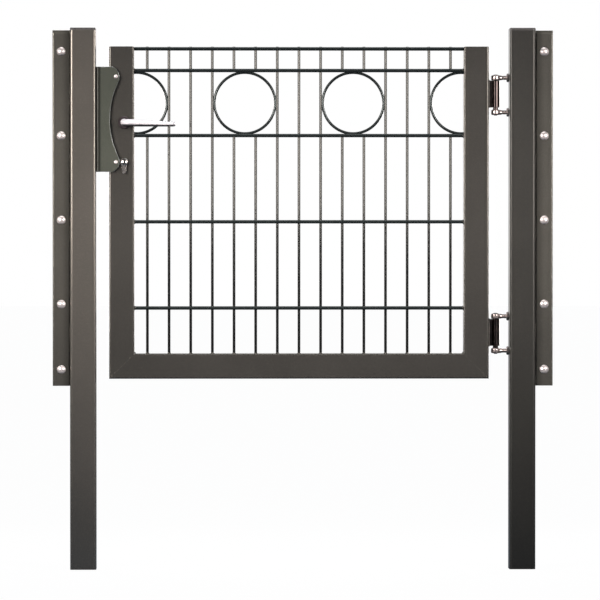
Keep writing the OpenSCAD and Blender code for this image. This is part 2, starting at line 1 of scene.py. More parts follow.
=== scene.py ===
import bpy
import numpy as np
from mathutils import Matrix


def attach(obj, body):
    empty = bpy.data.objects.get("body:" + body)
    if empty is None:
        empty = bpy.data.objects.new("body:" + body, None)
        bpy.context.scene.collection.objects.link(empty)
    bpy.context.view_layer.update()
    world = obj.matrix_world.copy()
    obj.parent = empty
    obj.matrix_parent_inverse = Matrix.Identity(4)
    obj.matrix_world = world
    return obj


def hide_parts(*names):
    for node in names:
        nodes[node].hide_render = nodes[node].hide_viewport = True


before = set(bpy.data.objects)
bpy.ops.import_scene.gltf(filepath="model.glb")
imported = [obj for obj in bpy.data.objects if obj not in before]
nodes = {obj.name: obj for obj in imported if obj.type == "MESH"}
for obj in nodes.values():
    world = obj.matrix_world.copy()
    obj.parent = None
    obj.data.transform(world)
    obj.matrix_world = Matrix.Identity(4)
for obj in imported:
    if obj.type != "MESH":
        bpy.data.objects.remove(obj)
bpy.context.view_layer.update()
scene = bpy.context.scene
mm = 0.001


# camera and studio

view = {
    "place": (-0.7415, -12.0, 0.85),
    "target": (-0.5131, 0.0, 0.6213),   # point of the gate's plane the camera looks at
    "widthShown": 1.386,                # how much of the gate's plane fits across
    "sensorWidth": 36.0,
    "seesTo": 80.0,
}


def aimed(place, target):
    # turns that point an object's own -Z from place to target: lean up from straight down, then
    # turn to the heading
    way = np.array(target) - np.array(place)
    flat = np.hypot(way[0], way[1])
    return np.arctan2(flat, -way[2]), 0, np.arctan2(-way[0], way[1])


def placeCamera():
    # focal length = sensor width x distance / width shown
    data = bpy.data.cameras.new("camera")
    distance = np.linalg.norm(np.array(view["target"]) - np.array(view["place"]))
    data.sensor_width = view["sensorWidth"]
    data.lens = data.sensor_width * distance / view["widthShown"]
    data.clip_end = view["seesTo"]
    camera = bpy.data.objects.new("camera", data)
    camera.location = view["place"]
    camera.rotation_euler = aimed(view["place"], view["target"])
    scene.collection.objects.link(camera)
    scene.camera = camera


def hexToLinear(code):
    # per channel: c / 12.92 up to 0.04045, else ((c + 0.055) / 1.055) ^ 2.4
    c = np.array([int(code[i:i + 2], 16) for i in (1, 3, 5)]) / 255
    return (*np.where(c <= 0.04045, c / 12.92, ((c + 0.055) / 1.055) ** 2.4).tolist(), 1.0)


def addNode(tree, kind, settings=None, links=None):
    # a node with its settings, on its sockets or itself; links: input -> (node, output)
    node = tree.nodes.new(kind)
    for key, value in (settings or {}).items():
        if isinstance(key, int) or key in node.inputs:
            node.inputs[key].default_value = value
        else:
            setattr(node, key, value)
    for key, (source, output) in (links or {}).items():
        tree.links.new(source.outputs[output], node.inputs[key])
    return node


studio = {
    "ambient": "#a8c0dc",              # what the walls give back to the gate
    "ambientStrength": 0.45,
    "frontDim": 0.05,                  # the room round the camera, as shiny things show it
    "backdrop": (0.15, 0.75, 0.9),     # white backdrop, as shiny things show it: the Y of the
                                       # direction where it begins and is full, and how bright
    "sideBoards": (0.7, 0.95, 0.9),    # white boards at both sides, likewise by X
    "floorHalf": 30.0,
    "floorSeen": "#ffffff",
    "floorGives": "#4e5d69",           # the floor as the gate's underside sees it
    "floorShadow": 0.02,               # how much of the shadow the white floor keeps
    "lamps": [
        # name, place, aim, size across, size up, spread in degrees, watts, colour
        ("leftPanel", (-1.8, -1.6, 1.24), (-0.6, 0, 0.74), 1.0, 0.9, 48, 6.9, "#fff6f0"),
        ("rightPanel", (0.8, -1.65, 1.24), (-0.4, 0, 0.74), 1.0, 0.9, 48, 5.6, "#fff6f1"),
        ("topPanel", (-0.5, -0.2, 3.1), (-0.5, 0, 0.8), 1.6, 1.2, 120, 9.0, "#ffffff"),
        ("rearLeftPanel", (-1.8, 1.9, 0.95), (-0.6, 0, 0.85), 1.0, 1.0, 100, 12.0, "#fff8f4"),
        ("rearRightPanel", (0.8, 1.9, 0.95), (-0.4, 0, 0.85), 1.0, 1.0, 100, 12.0, "#fff8f5"),
    ],
}


def buildWorld():
    # the camera sees white, shiny things the backdrop and side boards, and the rest is ambient
    world = bpy.data.worlds.new("studio")
    scene.world = world
    world.use_nodes = True
    tree = world.node_tree
    tree.nodes.clear()
    path = addNode(tree, "ShaderNodeLightPath")
    ambient = addNode(tree, "ShaderNodeBackground", {"Color": hexToLinear(studio["ambient"]),
                                                     "Strength": studio["ambientStrength"]})
    direction = addNode(tree, "ShaderNodeTexCoord")
    axes = addNode(tree, "ShaderNodeSeparateXYZ", links={0: (direction, "Generated")})
    across = addNode(tree, "ShaderNodeMath", {"operation": "ABSOLUTE"}, {0: (axes, "X")})
    back, sides = [
        addNode(tree, "ShaderNodeMapRange",
                {"From Min": begins, "From Max": full, "To Min": studio["frontDim"],
                 "To Max": bright, "interpolation_type": "SMOOTHSTEP"}, {"Value": source})
        for source, (begins, full, bright) in (((axes, "Y"), studio["backdrop"]),
                                               ((across, 0), studio["sideBoards"]))]
    brighter = addNode(tree, "ShaderNodeMath", {"operation": "MAXIMUM"},
                       {0: (back, 0), 1: (sides, 0)})
    walls = addNode(tree, "ShaderNodeBackground", {"Color": (1, 1, 1, 1)},
                    {"Strength": (brighter, 0)})
    white = addNode(tree, "ShaderNodeBackground", {"Color": (1, 1, 1, 1), "Strength": 1.0})
    mixGloss = addNode(tree, "ShaderNodeMixShader",
                       links={0: (path, "Is Glossy Ray"), 1: (ambient, 0), 2: (walls, 0)})
    mixCamera = addNode(tree, "ShaderNodeMixShader",
                        links={0: (path, "Is Camera Ray"), 1: (mixGloss, 0), 2: (white, 0)})
    addNode(tree, "ShaderNodeOutputWorld", links={"Surface": (mixCamera, 0)})


def buildFloor():
    # one large square at the posts' feet
    mesh = bpy.data.meshes.new("floor")
    half = studio["floorHalf"]
    mesh.from_pydata([(-half, -half, 0), (half, -half, 0), (half, half, 0), (-half, half, 0)], [],
                     [(0, 1, 2, 3)])
    floor = bpy.data.objects.new("floor", mesh)
    scene.collection.objects.link(floor)
    material = bpy.data.materials.new("whiteFloor")
    material.use_nodes = True
    tree = material.node_tree
    tree.nodes.clear()
    path = addNode(tree, "ShaderNodeLightPath")
    tone = addNode(tree, "ShaderNodeMix",
                   {"data_type": "RGBA", 6: hexToLinear(studio["floorGives"]),
                    7: hexToLinear(studio["floorSeen"])}, {0: (path, "Is Camera Ray")})
    matt = addNode(tree, "ShaderNodeBsdfDiffuse", links={"Color": (tone, 2)})
    white = addNode(tree, "ShaderNodeEmission", {"Color": (1, 1, 1, 1), "Strength": 1.0})
    share = addNode(tree, "ShaderNodeMath", {"operation": "MULTIPLY", 1: 1 - studio["floorShadow"]},
                    {0: (path, "Is Camera Ray")})
    mixed = addNode(tree, "ShaderNodeMixShader", links={0: (share, 0), 1: (matt, 0), 2: (white, 0)})
    addNode(tree, "ShaderNodeOutputMaterial", links={"Surface": (mixed, 0)})
    mesh.materials.append(material)


def hangLamps():
    # each lamp is a rectangle turned to its aim
    for name, place, aim, across, up, spread, watts, colour in studio["lamps"]:
        data = bpy.data.lights.new(name, "AREA")
        data.shape = "RECTANGLE"
        data.size, data.size_y = across, up
        data.spread = np.radians(spread)
        data.energy = watts
        data.color = hexToLinear(colour)[:3]
        lamp = bpy.data.objects.new(name, data)
        scene.collection.objects.link(lamp)
        lamp.location = place
        lamp.rotation_euler = aimed(place, aim)
        lamp.visible_camera = False


placeCamera()
buildWorld()
buildFloor()
hangLamps()
scene.view_settings.view_transform = "Standard"
print("camera, walls, floor and lamps are up")


# finishes; sizes in their dictionaries are in millimetres, and only shift is in metres

powder = {
    "cloud": 160.0, "cloudMost": 0.5,        # clouds of dust, and how much dust they hold at most
    "flake": 1.2, "flakeMost": 0.35,         # real flakes are 0.1 mm, too fine to show, so larger
    "worn": (0.99, 0.8),                     # cosine between edge and face: first wear, full wear
    "peel": 2.0, "peelHigh": 0.1, "peelStrength": 0.12,
    "roughSwing": 0.03,
}
machined = {
    "patch": 14.0,
    "round": 0.4,                            # how far the lathe's sharp edges are broken
    "lineHigh": 0.03, "lineStrength": 0.15,
    "hangs": (-0.8, -0.3),                   # Z of the way a face looks: painted shade darkest, no painted shade
    "roughLess": 0.05, "roughMore": 0.08,
}
moulded = {
    "grain": 1.2, "grainHigh": 0.05, "grainStrength": 0.2,
    "rub": 25.0,
    "roughSwing": 0.08,
}


def newFinish(name, **constants):
    # a Principled material; constants go on its own sockets
    material = bpy.data.materials.new(name)
    material.use_nodes = True
    shader = material.node_tree.nodes["Principled BSDF"]
    for key, value in constants.items():
        shader.inputs[key].default_value = value
    return material, material.node_tree, shader


def dress(tree, shader, skin, rough, bump, shadeFactor=None):
    # the shader takes its colour, roughness and bump; the last factor, where under 1, darkens the
    # colour as painted shade
    colour = skin.outputs[2]
    if shadeFactor:
        shadedColour = addNode(tree, "ShaderNodeVectorMath", {"operation": "SCALE"},
                        {0: (skin, 2), "Scale": (shadeFactor, 0)})
        colour = shadedColour.outputs[0]
    tree.links.new(colour, shader.inputs["Base Color"])
    tree.links.new(rough.outputs[0], shader.inputs["Roughness"])
    tree.links.new(bump.outputs[0], shader.inputs["Normal"])


def powderCoat(name, look):
    # Micaceous powder coat, sprayed and baked: dark and satin, with a fine grain of mica flakes, a
    # faint orange peel,
    #  thin paler coats along the edges, clouds of dust, and where a look asks, a near-white painted
    #  highlight on the edges and painted shade by upright lines
    material, tree, shader = newFinish(name, Metallic=look["metal"], IOR=1.5)
    grazing = look.get("grazing", 1.0)       # how much of the shine is left at a glancing angle
    shader.inputs["Specular Tint"].default_value = (grazing, grazing, grazing, 1)
    place = addNode(tree, "ShaderNodeTexCoord")
    moved = addNode(tree, "ShaderNodeMapping", {"Location": (look["shift"],) * 3},
                    {"Vector": (place, "Object")})
    clouds = addNode(tree, "ShaderNodeTexNoise",
                     {"Scale": 1 / (powder["cloud"] * mm), "Detail": 5.0, "Roughness": 0.6},
                     {"Vector": (moved, 0)})
    flakes = addNode(tree, "ShaderNodeTexVoronoi", {"Scale": 1 / (powder["flake"] * mm)},
                     {"Vector": (moved, 0)})
    flakeTone = addNode(tree, "ShaderNodeSeparateColor", links={0: (flakes, "Color")})
    cloudShare = addNode(tree, "ShaderNodeMapRange",
                         {"From Min": 0.2, "From Max": 0.8, "To Max": powder["cloudMost"]},
                         {"Value": (clouds, "Fac")})
    base = addNode(tree, "ShaderNodeMix",
                   {"data_type": "RGBA", 6: hexToLinear(look["colour"]),
                    7: hexToLinear(look["dust"])}, {0: (cloudShare, 0)})
    flakeShare = addNode(tree, "ShaderNodeMapRange",
                         {"From Min": 0.6, "From Max": 1.0, "To Max": powder["flakeMost"]},
                         {"Value": (flakeTone, 0)})
    specked = addNode(tree, "ShaderNodeMix", {"data_type": "RGBA", 7: hexToLinear(look["speck"])},
                      {0: (flakeShare, 0), 6: (base, 2)})
    # rounding of the sharp edges, and how far it turns the face there
    rounded = addNode(tree, "ShaderNodeBevel", {"samples": 4, "Radius": look["edge"] * mm})
    facing = addNode(tree, "ShaderNodeNewGeometry")
    agree = addNode(tree, "ShaderNodeVectorMath", {"operation": "DOT_PRODUCT"},
                    {0: (rounded, 0), 1: (facing, "Normal")})
    edgeShare = addNode(tree, "ShaderNodeMapRange",
                        {"From Min": powder["worn"][0], "From Max": powder["worn"][1],
                         "To Max": look["bare"]}, {"Value": (agree, "Value")})
    skin = addNode(tree, "ShaderNodeMix", {"data_type": "RGBA", 7: hexToLinear(look["wearAndHighlight"])},
                   {0: (edgeShare, 0), 6: (specked, 2)})
    shadeFactor = None
    if "paintedShade" in look:
        # painted shade: the colour darkens near two upright lines. d = ||x - middle| - half| is the
        # distance from either
        #  of them, and the painted shade fades out between two such distances
        middle, half, start, end, least = look["paintedShade"]
        distance = (addNode(tree, "ShaderNodeSeparateXYZ", links={0: (place, "Object")}), "X")
        for offset in (middle, half):
            aside = addNode(tree, "ShaderNodeMath", {"operation": "SUBTRACT", 1: offset * mm},
                            {0: distance})
            apart = addNode(tree, "ShaderNodeMath", {"operation": "ABSOLUTE"}, {0: (aside, 0)})
            distance = (apart, 0)
        shadeFactor = addNode(tree, "ShaderNodeMapRange",
                        {"From Min": start * mm, "From Max": end * mm, "To Min": least,
                         "To Max": 1.0, "interpolation_type": "SMOOTHSTEP"}, {"Value": distance})
    rough = addNode(tree, "ShaderNodeMapRange",
                    {"From Min": 0.1, "From Max": 0.9,
                     "To Min": look["roughness"] - powder["roughSwing"],
                     "To Max": look["roughness"] + powder["roughSwing"]},
                    {"Value": (clouds, "Fac")})
    peel = addNode(tree, "ShaderNodeTexNoise", {"Scale": 1 / (powder["peel"] * mm), "Detail": 2.0},
                   {"Vector": (moved, 0)})
    bump = addNode(tree, "ShaderNodeBump",
                   {"Strength": look.get("peel", powder["peelStrength"]),
                    "Distance": powder["peelHigh"] * mm},
                   {"Height": (peel, "Fac"), "Normal": (rounded, 0)})
    dress(tree, shader, skin, rough, bump, shadeFactor)
    return material


def machinedMetal(name, look):
    # Metal from the lathe, the belt or the die: bright, with fine lines, dulled in patches; where a
    # look has under, painted shade on the side that faces down
    material, tree, shader = newFinish(name, Metallic=look.get("metal", 1.0))
    place = addNode(tree, "ShaderNodeTexCoord")
    moved = addNode(tree, "ShaderNodeMapping", {"Scale": look["stretch"]},
                    {"Vector": (place, "Object")})
    lines = addNode(tree, "ShaderNodeTexNoise", {"Scale": 1 / (look["grain"] * mm), "Detail": 3.0},
                    {"Vector": (moved, 0)})
    patches = addNode(tree, "ShaderNodeTexNoise",
                      {"Scale": 1 / (machined["patch"] * mm), "Detail": 4.0},
                      {"Vector": (place, "Object")})
    mixed = addNode(tree, "ShaderNodeMath", {"operation": "MULTIPLY"},
                    {0: (lines, "Fac"), 1: (patches, "Fac")})
    skin = addNode(tree, "ShaderNodeMix",
                   {"data_type": "RGBA", 6: hexToLinear(look["dull"]),
                    7: hexToLinear(look["bright"])}, {0: (lines, "Fac")})
    shadeFactor = None
    if "under" in look:
        # painted shade: the colour darkens on the side that faces down
        tilt = addNode(tree, "ShaderNodeSeparateXYZ", links={0: (place, "Normal")})
        shadeFactor = addNode(tree, "ShaderNodeMapRange",
                        {"From Min": machined["hangs"][0], "From Max": machined["hangs"][1],
                         "To Min": look["under"], "To Max": 1.0,
                         "interpolation_type": "SMOOTHSTEP"}, {"Value": (tilt, "Z")})
    rough = addNode(tree, "ShaderNodeMapRange",
                    {"From Min": 0.1, "From Max": 0.45,
                     "To Min": look["roughness"] - machined["roughLess"],
                     "To Max": look["roughness"] + machined["roughMore"]}, {"Value": (mixed, 0)})
    rounded = addNode(tree, "ShaderNodeBevel", {"samples": 4, "Radius": machined["round"] * mm})
    bump = addNode(tree, "ShaderNodeBump",
                   {"Strength": machined["lineStrength"], "Distance": machined["lineHigh"] * mm},
                   {"Height": (lines, "Fac"), "Normal": (rounded, 0)})
    dress(tree, shader, skin, rough, bump, shadeFactor)
    return material


def mouldedPlastic(name, look):
    # Moulded polymer: a matt grain from the mould, paler where it is rubbed
    material, tree, shader = newFinish(name, Metallic=0.0, IOR=1.5)
    place = addNode(tree, "ShaderNodeTexCoord")
    grain, rubbed = [
        addNode(tree, "ShaderNodeTexNoise", {"Scale": 1 / (size * mm), "Detail": 3.0},
                {"Vector": (place, "Object")}) for size in (moulded["grain"], moulded["rub"])]
    skin = addNode(tree, "ShaderNodeMix",
                   {"data_type": "RGBA", 6: hexToLinear(look["colour"]),
                    7: hexToLinear(look["rubbed"])}, {0: (rubbed, "Fac")})
    rough = addNode(tree, "ShaderNodeMapRange",
                    {"To Min": look["roughness"] - moulded["roughSwing"],
                     "To Max": look["roughness"] + moulded["roughSwing"]},
                    {"Value": (rubbed, "Fac")})
    bump = addNode(tree, "ShaderNodeBump",
                   {"Strength": moulded["grainStrength"], "Distance": moulded["grainHigh"] * mm},
                   {"Height": (grain, "Fac")})
    dress(tree, shader, skin, rough, bump)
    return material


# edge is the rounding that catches light, bare the share of the edge colour on it (paler wear, and
# on the strike plate
#  a near-white painted highlight), and shift moves the clouds; the painted shade tuple is (middle,
#  half, start, end, least), as powderCoat's formula has it
coats = {
    # both posts have one paint: the latch post's coat is a lighter copy of it (painted light), the
    # hinge post's a darker copy (painted shade)
    "latchPostLitCoat": {"colour": "#6f6c65", "dust": "#7e7771", "speck": "#928b82", "wearAndHighlight": "#8f8981",
                      "metal": 0.65, "bare": 0.3, "roughness": 0.22, "edge": 0.6, "shift": 0.0},
    "hingePostShadedCoat": {"colour": "#363532", "dust": "#3d3c38", "speck": "#4c4a44", "wearAndHighlight": "#43413d",
                      "metal": 0.45, "bare": 0.2, "roughness": 0.32, "edge": 0.6, "shift": 5.0},
    "railCoat": {"colour": "#5f5d57", "dust": "#6d6b63", "speck": "#817d76", "wearAndHighlight": "#939085",
                 "metal": 0.65, "bare": 0.5, "roughness": 0.255, "edge": 1.5, "shift": 0.7,
                 # painted shade: the bars darken towards the posts, where the posts shade them
                 "paintedShade": (-506.75, 506.75, 32.0, 52.0, 0.55)},
    "frameCoat": {"colour": "#4f4d49", "dust": "#595753", "speck": "#6a6760", "wearAndHighlight": "#68665e",
                  "metal": 0.65, "bare": 0.3, "roughness": 0.25, "edge": 0.6, "shift": 1.3},
    # the cross rods, rings, crossing welds and uprights have one paint: the first coat below is a
    # darker copy of it (painted shade), the second a lighter, shinier copy (painted light)
    "rodShadedCoat": {"colour": "#2b3232", "dust": "#343939", "speck": "#434644", "wearAndHighlight": "#4e5351",
                "metal": 0.65, "bare": 0.5, "roughness": 0.24, "edge": 0.3, "shift": 2.1},
    "uprightLitCoat": {"colour": "#414241", "dust": "#464643", "speck": "#4a4a46", "wearAndHighlight": "#585854",
                    "metal": 0.9, "bare": 0.3, "roughness": 0.13, "edge": 0.3, "shift": 2.6,
                    "peel": 0.02, "grazing": 0.15},
    # the strike plate's edge colour, near white over the whole edge rounding, is a bare cut edge
    # and a painted highlight along it
    "strikeCoat": {"colour": "#53574f", "dust": "#5e6058", "speck": "#707465", "wearAndHighlight": "#f0f6f8",
                   "metal": 0.65, "bare": 1.0, "roughness": 0.3, "edge": 1.3, "shift": 3.4,
                   # painted shade: a dark strip along the plate's bend beside the post
                   "paintedShade": (-983.5, 0.0, 6.0, 14.0, 0.12)},
}
# under is what is left of the colour under the painted shade on the side that faces down, and
# stretch is by axis:
#  below 1 draws the fine lines out along it
metals = {
    "hingeSteel": {"dull": "#8f8684", "bright": "#b5aaa7", "metal": 0.85, "under": 0.2,
                   "roughness": 0.26, "grain": 0.6, "stretch": (0.2, 0.2, 6.0)},
    "barrelSteel": {"dull": "#3c3534", "bright": "#544c4a", "roughness": 0.2, "grain": 0.6,
                    "stretch": (3.0, 3.0, 0.1)},
    "boltSteel": {"dull": "#cfc5c2", "bright": "#f2e9e6", "metal": 0.6, "under": 0.1,
                  "roughness": 0.3, "grain": 1.2, "stretch": (1.0, 1.0, 1.0)},
    "lockSteel": {"dull": "#a9a8a6", "bright": "#c6c5c3", "roughness": 0.30, "grain": 0.5,
                  "stretch": (8.0, 8.0, 0.3)},
    "leverMetal": {"dull": "#d6d3d6", "bright": "#e2dfe2", "metal": 0.25, "under": 0.08,
                   "roughness": 0.44, "grain": 0.6, "stretch": (0.3, 6.0, 6.0)},
    "cylinderNickel": {"dull": "#a39e9a", "bright": "#d6d1cd", "roughness": 0.22, "grain": 0.8,
                       "stretch": (4.0, 0.3, 4.0)},
}
plastics = {
    "capPlastic": {"colour": "#403d3c", "rubbed": "#4b4845", "roughness": 0.4},
    "rosePlastic": {"colour": "#1d1518", "rubbed": "#2a1f24", "roughness": 0.36},
    "bufferRubber": {"colour": "#151515", "rubbed": "#1f1f1e", "roughness": 0.75},
}
finishes = {name: make(name, look)
            for make, looks in ((powderCoat, coats), (machinedMetal, metals),
                                (mouldedPlastic, plastics))
            for name, look in looks.items()}

wornBy = {
    "latchPostLitCoat": ["latch_post"],
    "hingePostShadedCoat": ["hinge_post"],
    "railCoat": [f"{side}_side_{part}" for side in ("hinge", "latch")
                 for part in ("angle", "clamp_bar")],
    "frameCoat": ["latch_stile", "hinge_stile", "bottom_rail",
                  "latch_stile_cap", "hinge_stile_cap"],
    "rodShadedCoat": ["mesh_panel"],
    "strikeCoat": ["strike_plate"],
    "hingeSteel": [f"{end}_hinge_{part}" for end in ("upper", "lower")
                   for part in ("top_eye_bolt", "bottom_eye_bolt", "nuts")],
    "barrelSteel": [f"{end}_hinge_{part}" for end in ("upper", "lower")
                    for part in ("pin", "collar", "barrel")],
    "lockSteel": ["lock_case", "latch", "dead_bolt", "spindle"],
    "leverMetal": ["front_lever", "back_lever"],
    "cylinderNickel": ["lock_cylinder"],
    "capPlastic": ["hinge_post_cap", "latch_post_cap"],
    "rosePlastic": ["front_rose", "back_rose"],
    "bufferRubber": ["upper_buffer", "lower_buffer"],
}
for finish, names in wornBy.items():
    for name in names:
        node = nodes[name]
        if not node.material_slots:
            node.data.materials.append(None)
        for holder in node.material_slots:
            holder.material = finishes[finish]
print("finishes are on", sum(len(names) for names in wornBy.values()), "nodes")


# shapes; each is (points in millimetres, blocks of faces)


def gridFaces(rows, columns, closedRows=False):
    # face (i, j) joins point i * columns + j, the next in its row, and the same two a row on
    i, j = np.meshgrid(np.arange(rows - (not closedRows)), np.arange(columns), indexing="ij")
    here, ahead = i * columns, (i + 1) % rows * columns
    beside = (j + 1) % columns
    return np.stack([here + j, here + beside, ahead + beside, ahead + j], -1).reshape(-1, 4)


def unit(v):
    # v divided by its own length
    return v / np.linalg.norm(v, axis=-1, keepdims=True)


def withEnds(points, rows, columns):
    # a grid of points closed by one face at each end
    ends = np.stack([np.arange(columns)[::-1], np.arange(columns) + (rows - 1) * columns])
    return points.reshape(-1, 3), [gridFaces(rows, columns), ends]


def sweep(path, radius, across, sides):
    # p(i, a) = path(i) + radius(i) (cos a u(i) + sin a v(i)), with t the path's direction,
    # v = t x across made unit, and u = v x t
    path = np.asarray(path, float)
    t = unit(np.gradient(path, axis=0))
    v = unit(np.cross(t, across))
    u = np.cross(v, t)
    a = np.linspace(0, 2 * np.pi, sides, endpoint=False)[None, :, None]
    r = np.broadcast_to(radius, len(path))[:, None, None]
    points = path[:, None] + r * (np.cos(a) * u[:, None] + np.sin(a) * v[:, None])
    return withEnds(points, len(path), sides)


def spun(heights, radii, centre, axis, sides):
    # p(i, a) = centre + h(i, a) axis + r(i, a) (cos a u + sin a v), with v = axis x u
    axis = unit(np.asarray(axis, float))
    upright = abs(axis[2]) > 0.9
    u = unit(np.cross(axis, (0, 1, 0) if upright else (0, 0, 1)))
    v = np.cross(axis, u)
    a = np.linspace(0, 2 * np.pi, sides, endpoint=False)[None, :, None]
    h, r = [np.asarray(values, float) for values in (heights, radii)]
    h, r = [values[:, None, None] if values.ndim == 1 else values[:, :, None] for values in (h, r)]
    points = np.asarray(centre, float) + h * axis + r * (np.cos(a) * u + np.sin(a) * v)
    return withEnds(points, len(heights), sides)


def hoop(centre, radius, thick, start, end, rows, sides):
    # a round rod bent to radius in the X-Z plane, from angle start to end:
    # p(g, a) = centre + (radius + thick cos a) (cos g, 0, sin g) + thick sin a (0, -1, 0)
    whole = np.isclose(end - start, 2 * np.pi)
    g = np.linspace(start, end, rows, endpoint=not whole)[:, None]
    a = np.linspace(0, 2 * np.pi, sides, endpoint=False)[None, :]
    out = radius + thick * np.cos(a)
    points = np.stack([centre[0] + out * np.cos(g), centre[1] - thick * np.sin(a) + 0 * g,
                       centre[2] + out * np.sin(g)], -1)
    if whole:
        return points.reshape(-1, 3), [gridFaces(rows, sides, closedRows=True)[:, ::-1]]
    shape, blocks = withEnds(points, rows, sides)
    return shape, [block[:, ::-1] for block in blocks]


def capProfile(radius, height, pole, rows):
    # heights and radii of a spherical cap of radius R = (r^2 + h^2) / 2h, from its base circle
    # to the angle pole short of its top
    big = (radius ** 2 + height ** 2) / (2 * height)
    g = np.linspace(np.arcsin(min(1, radius / big)), pole, rows)
    return big * np.cos(g) - (big - height), big * np.sin(g)


def copies(shape, places):
    # the shape moved to each place
    points, blocks = shape
    places = np.asarray(places, float)
    shift = np.arange(len(places))[:, None, None] * len(points)
    return ((points[None] + places[:, None]).reshape(-1, 3),
            [(block[None] + shift).reshape(-1, block.shape[1]) for block in blocks])


def joined(*shapes):
    # several shapes as one: each one's faces count on from the points before it
    first = np.cumsum([0] + [len(points) for points, blocks in shapes])
    return (np.concatenate([points for points, blocks in shapes]),
            [block + start for start, (points, blocks) in zip(first, shapes) for block in blocks])


def makePiece(name, shape, body, finish, replaces=(), sharp=38):
    # the shape as an object in metres, shaded smooth up to edges of sharp degrees
    points, blocks = shape
    mesh = bpy.data.meshes.new(name)
    faces = [face for block in blocks for face in block.tolist()]
    mesh.from_pydata((points * mm).tolist(), [], faces)
    mesh.shade_smooth()
    mesh.set_sharp_from_angle(angle=np.radians(sharp))
    mesh.materials.append(finishes[finish])
    piece = bpy.data.objects.new(name, mesh)
    scene.collection.objects.link(piece)
    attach(piece, body)
    if replaces:
        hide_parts(*replaces)


# rod mesh

leaf = {
    "mid": -515.5, "halfClear": 380.0,       # X of the leaf's middle, half its clear width
    "left": -953.5, "right": -77.5, "top": 1206.0, "railTop": 498.0, "depth": 40.0,
}
rods = {
    "rows": (1201.0, 1151.0, 1001.0, 802.0, 603.0),   # heights of the paired cross rods
    "crossR": 4.0, "crossSides": 20,
    "crossY": 6.25,                  # each cross rod's distance from the mesh's middle plane
    "uprightR": 3.2,                 # 6 mm wire under its zinc and paint
    "uprightSides": 16,
    "pitch": 50.0, "half": 7,        # uprights stand at -7..7 pitches from the middle
    "stub": 4.0,                     # how far a cut upright reaches past the rod it is welded to
    "eased": 0.4,                    # how much a rod's ends are drawn in, and over what length
}
rings = {
    "at": (-375.0, -125.0, 125.0, 375.0), "z": 1076.0, "r": 70.25, "thick": 3.25,
    "rows": 96, "sides": 14,
}
rodWelds = {
    # bead of squeezed-out metal where an upright crosses a rod
    "beadH": (-1.9, -1.5, -0.6, 0.6, 1.5, 1.9), "beadHalf": 1.95, "beadR": 3.9, "beadLeast": 0.6,
    "beadY": 2.75, "beadSides": 10,
    # flare round a rod's end on the frame
    "flareH": 2.2, "flareR": 2.0, "flarePower": 1.6, "flareRows": 6, "flareSides": 16,
    "over": 0.15,                    # how far the flare's thin edge lies outside the rod
    "headroom": 8.0,                 # rods nearer than this to the stiles' tops have no flare
}


def straightRod(start, end, radius, sides):
    # a straight sweep; at each end the radius falls by the eased amount over that same length
    start, end = np.array(start, float), np.array(end, float)
    length = np.linalg.norm(end - start)
    eased = rods["eased"]
    s = np.array([0, eased, length / 2, length - eased, length])
    r = radius - np.array([eased, 0, 0, 0, eased])
    return sweep(start + (end - start) * (s / length)[:, None], r, (0, 1, 0), sides)


